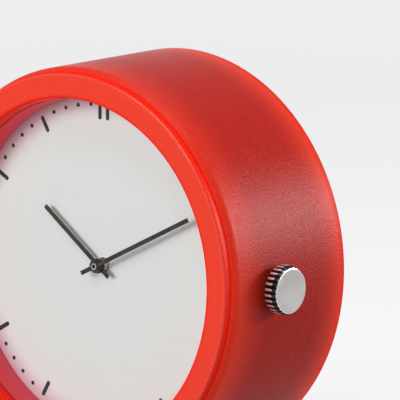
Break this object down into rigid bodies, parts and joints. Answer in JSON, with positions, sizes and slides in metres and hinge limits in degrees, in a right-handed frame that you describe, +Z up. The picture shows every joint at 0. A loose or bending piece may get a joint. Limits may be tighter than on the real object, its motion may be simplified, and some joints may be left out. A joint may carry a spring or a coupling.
{
  "type": "analog alarm clock",
  "caption": "Round frosted red desk alarm clock on a flat foot: white dial with bars and dots, black hands, chrome setting crown at the side, geared battery movement inside.",
  "frame": {"origin": "centre of the flat that the clock stands on, half way along its depth", "axes": "+X towards the crown at three o'clock, +Y from the dial to the back, +Z up"},
  "size_m": [0.1152, 0.0486, 0.1079],
  "materials": {
    "red_plastic": "fine frosted, slightly translucent red plastic",
    "red_ring": "satin red plastic with fine turned steps",
    "clear_lens": "clear polished sheet",
    "dial_white": "matte white print ground with black bars and dots",
    "inner_white": "moulded white plastic",
    "hand_black": "satin black paint",
    "polished_chrome": "polished rim and satin end face",
    "turned_steel": "turned or stamped bright steel",
    "screw_steel": "zinc plated steel",
    "gear_plastic": "natural white gear plastic",
    "spring_brass": "thin rolled spring brass",
    "movement_plastic": "moulded black plastic",
    "soft_iron": "stamped soft iron",
    "magnet_dark": "sintered magnet, dark grey",
    "winding_copper": "lacquered copper wire",
    "board_green": "lacquered circuit board",
    "chip_black": "black potting drop",
    "crystal_can": "drawn metal can",
    "control_black": "moulded black plastic",
    "buzzer_black": "moulded black can",
    "battery_wrap": "plain printed wrap on a steel can"
  },
  "bodies": {
    "case": {"case_sleeve": "red_plastic", "front_bezel": "red_plastic", "rear_cover": "red_plastic", "dial_spacer_ring": "red_ring", "lens": "clear_lens", "dial": "dial_white", "inner_plate": "inner_white", "battery_spring": "turned_steel", "battery_contact": "turned_steel", "cover_screws": "screw_steel", "movement_front_plate": "movement_plastic", "movement_housing": "movement_plastic", "stator": "soft_iron", "coil_core": "soft_iron", "coil_winding": "winding_copper", "circuit_board": "board_green", "controller_chip": "chip_black", "quartz_crystal": "crystal_can", "buzzer": "buzzer_black", "battery": "battery_wrap"},
    "crown_group": {"crown": "polished_chrome", "crown_stem": "turned_steel"},
    "motion_group": {"motion_wheel": "gear_plastic"},
    "minute_group": {"minute_arbor": "turned_steel", "clutch_spring": "spring_brass", "minute_hand": "hand_black"},
    "hour_group": {"hour_wheel": "gear_plastic", "hour_hand": "hand_black"},
    "rotor_group": {"rotor_pinion": "gear_plastic", "rotor_magnet": "magnet_dark"},
    "intermediate_group": {"intermediate_wheel": "gear_plastic"},
    "centre_group": {"centre_wheel": "gear_plastic"},
    "alarm_setting_group": {"alarm_shaft": "control_black", "alarm_knob": "control_black"},
    "alarm_wheel_group": {"alarm_wheel": "gear_plastic"},
    "switch_group": {"alarm_switch": "control_black"},
    "door_group": {"battery_door": "red_plastic"}
  },
  "joints": [
    {"name": "crown_turn", "type": "hinge", "parent": "case", "child": "crown_group", "pos_m": [0, -0.00455, 0.05291], "axis": [1, 0, 0], "continuous": true},
    {"name": "motion_turn", "type": "hinge", "parent": "case", "child": "motion_group", "pos_m": [0.008, 0, 0.05291], "axis": [0, 1, 0], "continuous": true},
    {"name": "minute_turn", "type": "hinge", "parent": "case", "child": "minute_group", "pos_m": [0, 0, 0.05291], "axis": [0, 1, 0], "continuous": true},
    {"name": "hour_turn", "type": "hinge", "parent": "case", "child": "hour_group", "pos_m": [0, 0, 0.05291], "axis": [0, 1, 0], "continuous": true},
    {"name": "rotor_spin", "type": "hinge", "parent": "case", "child": "rotor_group", "pos_m": [-0.01642, 0, 0.04549], "axis": [0, 1, 0], "continuous": true},
    {"name": "intermediate_spin", "type": "hinge", "parent": "case", "child": "intermediate_group", "pos_m": [-0.00742, 0, 0.04549], "axis": [0, 1, 0], "continuous": true},
    {"name": "centre_spin", "type": "hinge", "parent": "case", "child": "centre_group", "pos_m": [0, 0, 0.05291], "axis": [0, 1, 0], "continuous": true},
    {"name": "alarm_set", "type": "hinge", "parent": "case", "child": "alarm_setting_group", "pos_m": [0, 0, 0.06492], "axis": [0, 1, 0], "continuous": true},
    {"name": "alarm_wheel_turn", "type": "hinge", "parent": "case", "child": "alarm_wheel_group", "pos_m": [0, 0, 0.05291], "axis": [0, 1, 0], "continuous": true},
    {"name": "alarm_switch_slide", "type": "slide", "parent": "case", "child": "switch_group", "axis": [1, 0, 0], "range_m": [0, 0.004]},
    {"name": "battery_door_hinge", "type": "hinge", "parent": "case", "child": "door_group", "pos_m": [0, 0.02025, 0.01716], "axis": [-1, 0, 0], "range_deg": [0, 90]}
  ],
  "couplings": [
    {"joint": "motion_turn", "follows": "crown_turn", "ratio": -0.33333},
    {"joint": "minute_turn", "follows": "crown_turn", "ratio": 1},
    {"joint": "hour_turn", "follows": "crown_turn", "ratio": 0.083333},
    {"joint": "intermediate_spin", "follows": "rotor_spin", "ratio": -0.2},
    {"joint": "centre_spin", "follows": "rotor_spin", "ratio": 0.033333},
    {"joint": "alarm_wheel_turn", "follows": "alarm_set", "ratio": -1}
  ]
}
